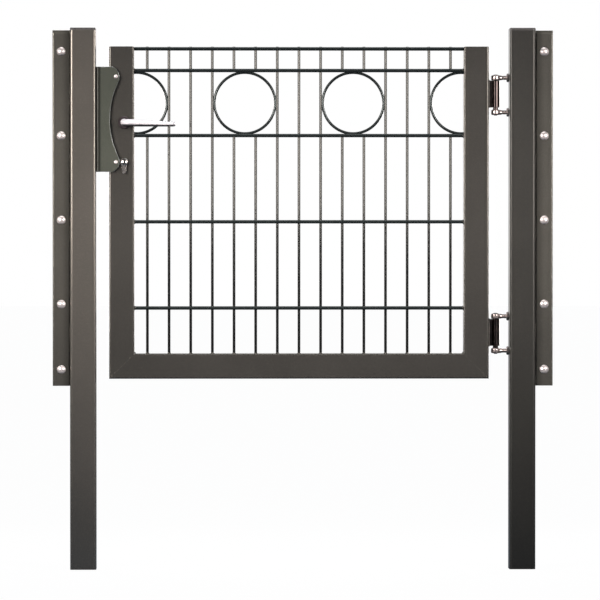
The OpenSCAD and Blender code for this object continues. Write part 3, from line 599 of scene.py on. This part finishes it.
def buildMesh():
    # paired cross rods, single uprights between them, a band of rings, and their welds
    low, high = leaf["mid"] - leaf["halfClear"], leaf["mid"] + leaf["halfClear"]
    rows = rods["rows"]
    crossRod = straightRod((low, 0, 0), (high, 0, 0), rods["crossR"], rods["crossSides"])
    places = [(0, side * rods["crossY"], z) for z in rows for side in (-1, 1)]
    makePiece("crossRods", copies(crossRod, places), "leaf", "rodShadedCoat",
              ["mesh_panel"])

    # uprights: whole ones, and where a ring is in the way a lower and an upper piece
    at = np.arange(-rods["half"], rods["half"] + 1) * rods["pitch"]
    cut = np.abs(at[:, None] - np.array(rings["at"])).min(axis=1) < rings["r"]
    feet = (leaf["mid"] + at)[:, None] * (1, 0, 0)
    runs = [(~cut, leaf["railTop"], leaf["top"]),
            (cut, leaf["railTop"], rows[2] + rods["stub"]),
            (cut, rows[1] - rods["stub"], leaf["top"])]
    uprights = [copies(straightRod((0, 0, a), (0, 0, b), rods["uprightR"], rods["uprightSides"]),
                       feet[which]) for which, a, b in runs]
    makePiece("uprights", joined(*uprights), "leaf", "uprightLitCoat")

    # rings: the outer two stop at the stiles, where cos g = (half clear width - centre) / radius
    limit = np.arccos((leaf["halfClear"] - rings["at"][3]) / rings["r"])
    spans = [(limit - np.pi, np.pi - limit), (0, 2 * np.pi), (0, 2 * np.pi),
             (limit, 2 * np.pi - limit)]
    bent = [hoop((leaf["mid"] + x, 0, rings["z"]), rings["r"], rings["thick"], start, end,
                 rings["rows"], rings["sides"]) for x, (start, end) in zip(rings["at"], spans)]
    makePiece("rings", joined(*bent), "leaf", "rodShadedCoat")

    # bead: r = bead radius times sqrt(1 - (h / half bead)^2), never under the least radius
    h = np.array(rodWelds["beadH"])
    r = np.maximum(rodWelds["beadR"] * np.sqrt(1 - (h / rodWelds["beadHalf"]) ** 2),
                   rodWelds["beadLeast"])
    bead = spun(h, r, (0, 0, 0), (0, 1, 0), rodWelds["beadSides"])
    spots = [(leaf["mid"] + a, side * rodWelds["beadY"], z)
             for z in rows for a in at for side in (-1, 1)]
    makePiece("crossingWelds", copies(bead, spots), "leaf", "rodShadedCoat")

    # flare: r = rod + over + flare radius times (1 - h / flare height)^power
    h = np.linspace(0, rodWelds["flareH"], rodWelds["flareRows"])
    flare = rodWelds["flareR"] * (1 - h / rodWelds["flareH"]) ** rodWelds["flarePower"]
    sides = rodWelds["flareSides"]
    crossFlare = rods["crossR"] + rodWelds["over"] + flare
    toRight = spun(h, crossFlare, (low, 0, 0), (1, 0, 0), sides)
    toLeft = spun(h, crossFlare, (high, 0, 0), (-1, 0, 0), sides)
    foot = spun(h, rods["uprightR"] + rodWelds["over"] + flare, (0, 0, leaf["railTop"]),
                (0, 0, 1), sides)
    below = [place for place in places if place[2] < leaf["top"] - rodWelds["headroom"]]
    welds = joined(copies(toRight, below), copies(toLeft, below), copies(foot, feet))
    makePiece("rodEndWelds", welds, "leaf", "frameCoat")


buildMesh()
print("rod mesh is in")


# nuts and threads

nut = {
    "edge": (0, 0.25, 0.5, 0.8, 1.2),        # depths below a face that get a ring of points
    "chamfer": 0.5,                          # how far the face's circle lies inside the flats
    "slope": 1.7,                            # how fast the chamfer widens with the depth
    "sides": 72,
}
screwThread = {
    "depth": 0.6,
    "blunt": 0.55,                           # share of the radius left at the thread's end
    "sides": 24, "rowsPerTurn": 6,
}


def hexNut(height, across, start, axis):
    # r(h, a) = the smaller of across / (2 cos a), a within 30 degrees of a flat's middle, and
    # the face's circle + slope times the depth below the face
    a = np.linspace(0, 2 * np.pi, nut["sides"], endpoint=False)
    hexR = across / 2 / np.cos((a + np.pi / 6) % (np.pi / 3) - np.pi / 6)
    edge = np.array(nut["edge"])
    h = np.concatenate([edge, [height / 2], height - edge[::-1]])
    depth = np.minimum(h, height - h)
    r = np.minimum(hexR[None, :], (across / 2 - nut["chamfer"] + nut["slope"] * depth)[:, None])
    return spun(h, r, start, axis, nut["sides"])


def thread(start, length, axis, radius, pitch):
    # r(h, a) = radius - depth |2 frac(h / pitch - a / 2 pi) - 1|, narrowing over the last
    # half turn
    h = np.linspace(0, length, int(length / pitch * screwThread["rowsPerTurn"]) + 1)
    a = np.linspace(0, 1, screwThread["sides"], endpoint=False)
    ridge = np.abs(2 * ((h[:, None] / pitch - a[None, :]) % 1) - 1)
    taper = np.minimum(1, (length - h[:, None]) / pitch + screwThread["blunt"])
    r = (radius - screwThread["depth"] * ridge) * taper
    return spun(h, r, start, axis, screwThread["sides"])


# fence bolts

bolts = {
    "x": (50.0, -1063.5), "z": (1194.0, 1000.0, 806.0, 612.0, 461.5),
    "barFront": -23.0, "angleBack": -14.0,
    "headR": 10.0, "headH": 5.0, "rim": 0.8, "rimEdge": 0.15,
    "pole": 0.04, "headRows": 12, "headSides": 40,
    "shankR": 4.0, "shankSides": 20, "pitch": 1.25, "past": 3.5,
    "washerR": 8.0, "washerT": 1.6, "washerEdge": 0.2, "washerSides": 32,
    "nutAcross": 13.0, "nutT": 6.8,
}


def buildFenceBolts():
    # head: a spherical cap on a rim whose lower edge is broken
    front, back = (0, bolts["barFront"], 0), (0, bolts["angleBack"], 0)
    capH, capR = capProfile(bolts["headR"], bolts["headH"] - bolts["rim"], bolts["pole"],
                            bolts["headRows"])
    head = spun(np.concatenate([[0, bolts["rimEdge"]], bolts["rim"] + capH]),
                np.concatenate([[bolts["headR"] - bolts["rimEdge"], bolts["headR"]], capR]),
                front, (0, -1, 0), bolts["headSides"])
    grip = bolts["angleBack"] - bolts["barFront"]
    shank = spun([0, grip], [bolts["shankR"]] * 2, front, (0, 1, 0), bolts["shankSides"])
    edge, thick = bolts["washerEdge"], bolts["washerT"]
    washer = spun([0, edge, thick - edge, thick], bolts["washerR"] - np.array([edge, 0, 0, edge]),
                  back, (0, 1, 0), bolts["washerSides"])
    under = (0, bolts["angleBack"] + thick, 0)
    topNut = hexNut(bolts["nutT"], bolts["nutAcross"], under, (0, 1, 0))
    tail = thread(under, bolts["nutT"] + bolts["past"], (0, 1, 0), bolts["shankR"], bolts["pitch"])
    places = [(x, 0, z) for x in bolts["x"] for z in bolts["z"]]
    makePiece("fenceBolts", copies(joined(head, shank, washer, topNut, tail), places), "posts",
              "boltSteel", sharp=30)


buildFenceBolts()
print("fence bolts are in")


# hinges

hinge = {
    "axisX": -61.0, "z": (546.5, 1097.0), "topEye": 37.3, "lowEye": -42.3,
    "eyeR": 10.5, "eyeH": 12.0, "edgeR": 3.0, "edgeRows": 7, "eyeSides": 48,
    "boreR": 4.05, "boreBevel": 0.5,
    "neckIn": 1.0,                   # how far inside the eye's outer face the neck begins to ease
    "neck": 5.0, "neckRows": 8, "neckSides": 28,
    "neckLess": 0.1,                 # the neck's start is this much under half the eye's height
    "root": 0.2, "rootLess": 1.5,    # its hidden end: past the bore, under half the eye's height
    "shankR": 5.0, "pitch": 1.5, "overlap": 0.2, "intoPost": 1.0,
    "insideLess": 0.3, "insideSides": 24,    # the plain shank hidden in post and angle
    "postFace": -30.0, "angleBack": 34.0,
    "nutAcross": 17.0, "lockNut": 6.0, "endNut": 8.0, "past": 3.0,
}


def eyeRing():
    # a closed band: outer face rounded by quarter circles of edgeR, bore straight and bevelled
    e, half, bevel = hinge["edgeR"], hinge["eyeH"] / 2, hinge["boreBevel"]
    g = np.linspace(0, np.pi / 2, hinge["edgeRows"])
    low = np.stack([hinge["eyeR"] - e + e * np.sin(g), -half + e - e * np.cos(g)])
    high = np.stack([hinge["eyeR"] - e + e * np.cos(g), half - e + e * np.sin(g)])
    inner = hinge["boreR"]
    bore = np.array([[inner + bevel, inner, inner, inner + bevel],
                     [half, half - bevel, -half + bevel, -half]])
    r, h = np.concatenate([low, high, bore], axis=1)
    a = np.linspace(0, 2 * np.pi, hinge["eyeSides"], endpoint=False)[None, :]
    points = np.stack([r[:, None] * np.cos(a), r[:, None] * np.sin(a), h[:, None] + 0 * a], -1)
    return points.reshape(-1, 3), [gridFaces(len(r), hinge["eyeSides"], closedRows=True)]


def eyeBolt():
    # along X from the eye's axis: eye, neck, thread up to the post, plain shank, end thread.
    # The neck's radius eases to the shank's by a half cosine
    middle, along = (0, 0, 0), (1, 0, 0)
    face, back = hinge["postFace"] - hinge["axisX"], hinge["angleBack"] - hinge["axisX"]
    start = hinge["eyeR"] - hinge["neckIn"]
    s = np.linspace(0, 1, hinge["neckRows"])
    falls = hinge["eyeH"] / 2 - hinge["shankR"] - hinge["neckLess"]
    neckR = hinge["shankR"] + 0.5 * (1 + np.cos(np.pi * s)) * falls
    neck = spun(np.concatenate([[hinge["boreR"] + hinge["root"]], start + s * hinge["neck"]]),
                np.concatenate([[hinge["eyeH"] / 2 - hinge["rootLess"]], neckR]),
                middle, along, hinge["neckSides"])
    bare = start + hinge["neck"] - hinge["overlap"]
    shown = thread((bare, 0, 0), face - bare + hinge["intoPost"], along, hinge["shankR"],
                   hinge["pitch"])
    inside = spun([face, back], [hinge["shankR"] - hinge["insideLess"]] * 2, middle, along,
                  hinge["insideSides"])
    tail = thread((back, 0, 0), hinge["endNut"] + hinge["past"], along, hinge["shankR"],
                  hinge["pitch"])
    return joined(eyeRing(), neck, shown, inside, tail)


def buildHinges():
    # per hinge two eye bolts, each with a nut before the post and one behind the angle
    face, back = hinge["postFace"] - hinge["axisX"], hinge["angleBack"] - hinge["axisX"]
    nutPair = joined(hexNut(hinge["lockNut"], hinge["nutAcross"], (face - hinge["lockNut"], 0, 0),
                            (1, 0, 0)),
                     hexNut(hinge["endNut"], hinge["nutAcross"], (back, 0, 0), (1, 0, 0)))
    eye = eyeBolt()
    for name, z in zip(("lower", "upper"), hinge["z"]):
        places = {"top": (hinge["axisX"], 0, z + hinge["topEye"]),
                  "bottom": (hinge["axisX"], 0, z + hinge["lowEye"])}
        for end, place in places.items():
            makePiece(f"{name}Hinge{end.title()}EyeBolt", copies(eye, [place]), "posts",
                      "hingeSteel", [f"{name}_hinge_{end}_eye_bolt"])
        makePiece(f"{name}HingeNuts", copies(nutPair, list(places.values())), "posts", "hingeSteel",
                  [f"{name}_hinge_nuts"], sharp=25)


buildHinges()
print("hinges are in")


# levers

lever = {
    "x": -918.5, "z": 1031.0, "face": 20.0, "gap": 0.3,
    "reach": 46.0, "length": 118.5, "neckR": 8.4, "armR": 7.6, "tipR": 4.75,
    "neckBend": 13.0, "tipBend": 9.0, "tipLength": 5.0,
    "neckRim": 0.4,                  # how far the neck's first ring is drawn in
    "easeFrom": 8.0, "easeShort": 4.0,       # where the neck begins to ease, and how far
                                             # short of the full reach it is done
    "taper": 1.15,
    "neckRows": 6, "bendRows": 14, "armRows": 30, "tipRows": 4, "sides": 32,
    "domeRows": 9, "domeFrom": 0.15, "domeTo": 1.5,
}


def leverShape(side):
    # path: out along -Y, quarter bend, arm along +X, quarter bend back, short end, dome
    bend, back, reach = lever["neckBend"], lever["tipBend"], lever["reach"]
    neckR, armR, tipR = lever["neckR"], lever["armR"], lever["tipR"]
    armEnd = lever["length"] - back - tipR
    g = np.linspace(0, np.pi / 2, lever["bendRows"])
    domeAt = np.linspace(lever["domeFrom"], lever["domeTo"], lever["domeRows"])
    out = np.linspace(lever["gap"], reach - bend, lever["neckRows"])[:, None] * (0, -1, 0)
    first = np.stack([bend * (1 - np.cos(g)), -(reach - bend) - bend * np.sin(g), 0 * g], -1)
    arm = np.linspace((bend, -reach, 0), (armEnd, -reach, 0), lever["armRows"])
    last = np.stack([armEnd + back * np.sin(g), -reach + back * (1 - np.cos(g)), 0 * g], -1)
    end = last[-1] + np.linspace(0, lever["tipLength"], lever["tipRows"])[:, None] * (0, 1, 0)
    dome = end[-1] + tipR * np.sin(domeAt)[:, None] * (0, 1, 0)
    path = np.concatenate([out[:-1], first[:-1], arm[:-1], last[:-1], end, dome])
    # the neck's radius eases to the arm's by the square of the way out; along the arm
    # r = tip + (arm - tip) (1 - s)^taper; the dome is a quarter circle of the tip's radius
    along = np.clip((path[:, 0] - bend) / (armEnd - bend), 0, 1)
    eased = np.clip((-path[:, 1] - lever["easeFrom"])
                    / (reach - lever["easeFrom"] - lever["easeShort"]), 0, 1) ** 2
    r = np.where(along > 0, tipR + (armR - tipR) * (1 - along) ** lever["taper"],
                 neckR + (armR - neckR) * eased)
    r[-len(dome):] = tipR * np.cos(domeAt)
    r[0] = neckR - lever["neckRim"]
    # height of the path: as the bar thins, its underside stays level with the neck's
    path[:, 2] = np.where(along > 0, r - armR, 0) + eased * (armR - neckR)
    path[-len(dome):, 2] = path[-len(dome) - 1, 2]
    points, blocks = sweep(path, r, (0, 0, 1), lever["sides"])
    points = points - (0, lever["face"], 0)
    if side > 0:
        points = points * (1, -1, 1)
        blocks = [block[:, ::-1] for block in blocks]
    return points + (lever["x"], 0, lever["z"]), blocks


for side, name in ((-1, "front"), (1, "back")):
    makePiece(f"{name}LeverBar", leverShape(side), "handle", "leverMetal",
              [f"{name}_lever"], sharp=60)
print("levers are in")


# strike plate's rivets, buffers and screws; the lock's small parts

strike = {
    "z": 1038.0, "leafFront": -29.3, "leafBack": -26.3,
    "rivetX": -937.5, "rivetAt": 98.5, "rivetR": 4.6, "rivetH": 1.8, "rivetSides": 32,
    "bufferR": 7.5, "bufferT": 6.0, "bufferEdge": 1.2, "dish": 0.5,
    "edgeRows": 6, "dishAt": (0.8, 0.05, 5),     # first and last share of the face, and rows
    "bufferSides": 36,
    "flangeFace": -980.5, "flangeScrewY": 10.0, "flangeScrewZ": (930.0, 1090.0, 1146.0),
    "screwR": 5.0, "screwH": 2.6,
}
socketHead = {
    "turn": 0.62,                    # share of a quarter turn that the head's rounded side takes
    "socket": 0.42,                  # half the socket's width, as a share of the head's radius
    "floor": 0.3,                    # height of the socket's floor, as a share of the head's
    "rows": 6, "sides": 48,
}
lock = {
    "x": -918.5, "cylinderZ": 939.0, "cylinderFront": -28.0,
    "plugR": 7.4, "plugT": 2.2, "plugRows": 9, "plugSides": 48,
    "keyW": 2.2, "keyH": 9.0, "keyDepth": 0.3,
    "keyNarrows": 0.96,              # the keyway at its floor, as a share of its mouth
    "faceZ": 985.0, "screwAt": 106.0, "screwR": 4.0, "screwH": 0.9, "screwSides": 28,
}
smallCap = {"pole": 0.05, "rows": 8}     # rivets and faceplate screws, as capProfile has them


def socketScrew(radius, height, centre, axis):
    # low head: h = height sin g, r = radius cos g, then straight to the rim of a sunk socket
    # with six sides, r = half its width / cos a, a within 30 degrees of a side's middle
    sides = socketHead["sides"]
    a = np.linspace(0, 2 * np.pi, sides, endpoint=False)
    hexR = radius * socketHead["socket"] / np.cos((a + np.pi / 6) % (np.pi / 3) - np.pi / 6)
    g = np.linspace(0, socketHead["turn"] * np.pi / 2, socketHead["rows"])
    heights = np.concatenate([height * np.sin(g), [height, height * socketHead["floor"]]])
    radii = np.concatenate([np.tile((radius * np.cos(g))[:, None], sides), np.stack([hexR, hexR])])
    return spun(heights, radii, centre, axis, sides)


def buildStrikeParts():
    # two rivets (spherical caps), a buffer behind each, and the screws in the flange
    spots = [(strike["rivetX"], 0, strike["z"] + s * strike["rivetAt"]) for s in (-1, 1)]
    rivet = spun(*capProfile(strike["rivetR"], strike["rivetH"], **smallCap),
                 (0, strike["leafFront"], 0), (0, -1, 0), strike["rivetSides"])
    makePiece("strikeRivets", copies(rivet, spots), "posts", "boltSteel", sharp=70)
    # buffer: edge rounded by a quarter circle, face sunk by dish times (1 - share^2)^2
    e, thick = strike["bufferEdge"], strike["bufferT"]
    g = np.linspace(0, np.pi / 2, strike["edgeRows"])
    share = np.linspace(*strike["dishAt"])
    heights = np.concatenate([[0], thick - e + e * np.sin(g),
                              thick - strike["dish"] * (1 - share ** 2) ** 2])
    radii = np.concatenate([[strike["bufferR"]], strike["bufferR"] - e + e * np.cos(g),
                            (strike["bufferR"] - e) * share])
    buffer = spun(heights, radii, (0, strike["leafBack"], 0), (0, 1, 0), strike["bufferSides"])
    for name, spot in zip(("lower", "upper"), spots):
        makePiece(f"{name}StrikeBuffer", copies(buffer, [spot]), "posts", "bufferRubber",
                  [f"{name}_buffer"])
    screw = socketScrew(strike["screwR"], strike["screwH"],
                        (strike["flangeFace"], strike["flangeScrewY"], 0), (1, 0, 0))
    makePiece("strikeScrews", copies(screw, [(0, 0, z) for z in strike["flangeScrewZ"]]), "posts",
              "boltSteel")


def buildLockParts():
    # key plug: a spherical cap with the keyway through its middle. Its rings go from the plug's
    # circle to the keyway's outline, r(a) = the smaller of keyW / (2 |cos a|), keyH / (2 |sin a|)
    a = np.linspace(0, 2 * np.pi, lock["plugSides"], endpoint=False)
    nearZero = 1e-6
    slot = np.minimum(lock["keyW"] / 2 / np.maximum(np.abs(np.cos(a)), nearZero),
                      lock["keyH"] / 2 / np.maximum(np.abs(np.sin(a)), nearZero))
    share = np.linspace(1, 0, lock["plugRows"])[:, None]
    radii = slot + (lock["plugR"] - slot) * share
    big = (lock["plugR"] ** 2 + lock["plugT"] ** 2) / (2 * lock["plugT"])
    heights = np.sqrt(big ** 2 - radii ** 2) - (big - lock["plugT"])
    radii = np.concatenate([radii, slot[None, :] * lock["keyNarrows"]])
    heights = np.concatenate([heights, 0 * a[None, :] - lock["keyDepth"]])
    faces = [gridFaces(len(radii), lock["plugSides"], closedRows=True)]
    for name, way in (("front", -1), ("back", 1)):
        centre = (lock["x"], -way * lock["cylinderFront"], lock["cylinderZ"])
        points = spun(heights, radii, centre, (0, way, 0), lock["plugSides"])[0]
        makePiece(f"{name}Plug", (points, faces), "leaf", "cylinderNickel")
    screw = spun(*capProfile(lock["screwR"], lock["screwH"], **smallCap),
                 (leaf["left"], 0, 0), (-1, 0, 0), lock["screwSides"])
    spots = [(0, 0, lock["faceZ"] + s * lock["screwAt"]) for s in (-1, 1)]
    makePiece("faceplateScrews", copies(screw, spots), "leaf", "boltSteel")


buildStrikeParts()
buildLockParts()
print("strike and lock parts are in")


# welds

weld = {
    "ripple": 3.0, "rippleDepth": 0.12,      # distance between ripples, share of the radius
    "rowsPerRipple": 4, "leastRows": 6, "sides": 10,
    "blunt": 0.15,                           # share of the section left at a bead's ends
    "wander": 0.15, "wanderOver": 7.3,       # share of the radius, and mm of bead to a radian
    "cornerR": 3.4, "cornerIn": 4.0,         # corner beads stop short of the frame's two faces
    "plateR": 1.8, "plateOut": 0.6,
    "plateHalfZ": 31.0, "plateHalfY": 15.0,
    "plateBeside": 0.4,                      # how far outside the plate's edge its bead runs
    "angleR": 2.2, "postEdges": (30.4, -1043.9), "angleEdges": (-18.4, 22.4),
    "angleRuns": ((1243, 1215), (1160, 1137), (1123, 1070), (960, 925),
                  (790, 755), (597, 583), (570, 519), (450, 427)),   # top and foot of each bead
}


def seam(start, end, radius, up):
    # r(s) = radius (1 - depth + depth cos(2 pi s / ripple)), drawn in at both ends by the root of
    # the distance from them, along a line that wanders slowly from side to side
    start, end = np.array(start, float), np.array(end, float)
    length = np.linalg.norm(end - start)
    ripple, depth = weld["ripple"], weld["rippleDepth"]
    s = np.linspace(0, length, max(int(length / ripple * weld["rowsPerRipple"]), weld["leastRows"]))
    r = radius * (1 - depth + depth * np.cos(2 * np.pi * s / ripple))
    r = r * np.sqrt(np.clip(np.minimum(s, length - s) / radius + weld["blunt"], 0, 1))
    path = start + (end - start) * (s / length)[:, None]
    aside = weld["wander"] * radius * np.sin(s / weld["wanderOver"])
    return sweep(path + aside[:, None] * unit(np.asarray(up, float)), r, up, weld["sides"])


def buildWelds():
    # straight seams at the frame's corners, round the hinge plates and along the angles
    half = leaf["depth"] / 2 - weld["cornerIn"]
    corners = [seam((x, -half, leaf["railTop"]), (x, half, leaf["railTop"]), weld["cornerR"],
                    (0, 0, 1))
               for x in (leaf["mid"] - leaf["halfClear"], leaf["mid"] + leaf["halfClear"])]
    makePiece("cornerWelds", joined(*corners), "leaf", "frameCoat")
    # hinge plates: a bead up each side, and one across above and below
    edge, thick = leaf["right"] + weld["plateOut"], weld["plateR"]
    halfY, halfZ, beside = weld["plateHalfY"], weld["plateHalfZ"], weld["plateBeside"]
    plates = [seam((edge, s * (halfY + beside), z - halfZ),
                   (edge, s * (halfY + beside), z + halfZ), thick, (0, 1, 0))
              for z in hinge["z"] for s in (-1, 1)]
    plates += [seam((edge, -halfY, z + s * (halfZ + beside)),
                    (edge, halfY, z + s * (halfZ + beside)), thick, (0, 0, 1))
               for z in hinge["z"] for s in (-1, 1)]
    makePiece("hingePlateWelds", joined(*plates), "leaf", "frameCoat")
    angles = [seam((x, y, foot), (x, y, top), weld["angleR"], (0, 1, 0))
              for x in weld["postEdges"] for y in weld["angleEdges"]
              for top, foot in weld["angleRuns"]]
    makePiece("angleWelds", joined(*angles), "posts", "railCoat")


buildWelds()
print("welds are in")
